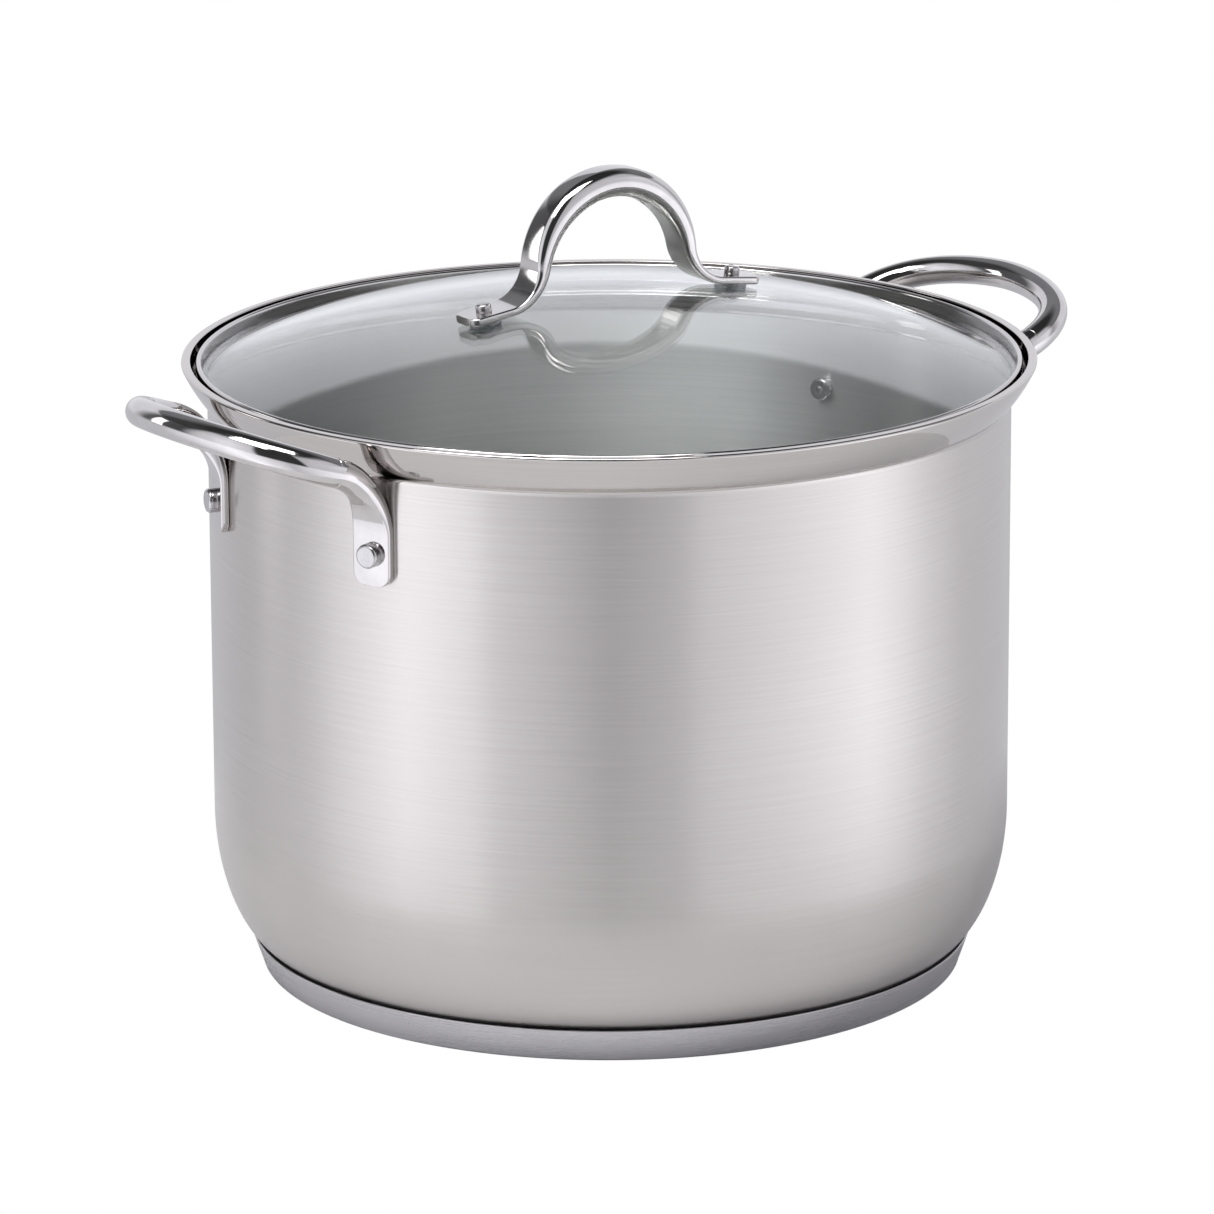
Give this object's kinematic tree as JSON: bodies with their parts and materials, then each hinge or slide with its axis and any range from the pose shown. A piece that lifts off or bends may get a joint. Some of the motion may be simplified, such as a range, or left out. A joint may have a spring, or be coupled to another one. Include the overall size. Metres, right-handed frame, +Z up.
{
  "type": "stock pot",
  "caption": "Tall stainless stock pot with a rounded lower corner, a clad base, riveted loop handles and a domed glass lid with an arched strap handle.",
  "frame": {"origin": "centre of the base on the surface that the pot stands on", "axes": "+Z up, +X through the middle of the right side handle, +Y away from the side seen as the front"},
  "size_m": [0.3682, 0.2934, 0.28],
  "materials": {
    "satin_steel": "satin brushed stainless steel",
    "polished_steel": "polished cast stainless steel",
    "band_steel": "polished rolled stainless steel",
    "rivet_steel": "tumbled stainless steel",
    "core_aluminium": "pressed aluminium",
    "tempered_glass": "clear tempered glass",
    "silicone": "moulded silicone"
  },
  "bodies": {
    "pot": {"pot_body": "satin_steel", "base_core_disc": "core_aluminium", "base_cap": "satin_steel", "right_handle": "polished_steel", "left_handle": "polished_steel", "rivet_right_front": "rivet_steel", "rivet_right_rear": "rivet_steel", "rivet_left_front": "rivet_steel", "rivet_left_rear": "rivet_steel"},
    "lid": {"lid_glass": "tempered_glass", "lid_band": "band_steel", "lid_handle": "polished_steel", "lid_rivet_left": "rivet_steel", "lid_rivet_right": "rivet_steel", "grommet_left": "silicone", "grommet_right": "silicone", "soft_washer_left": "silicone", "soft_washer_right": "silicone", "steel_washer_left": "rivet_steel", "steel_washer_right": "rivet_steel"}
  },
  "joints": [
    {"name": "lid_lift", "type": "slide", "parent": "pot", "child": "lid", "axis": [0, 0, 1], "range_m": [0, 0.12]}
  ]
}
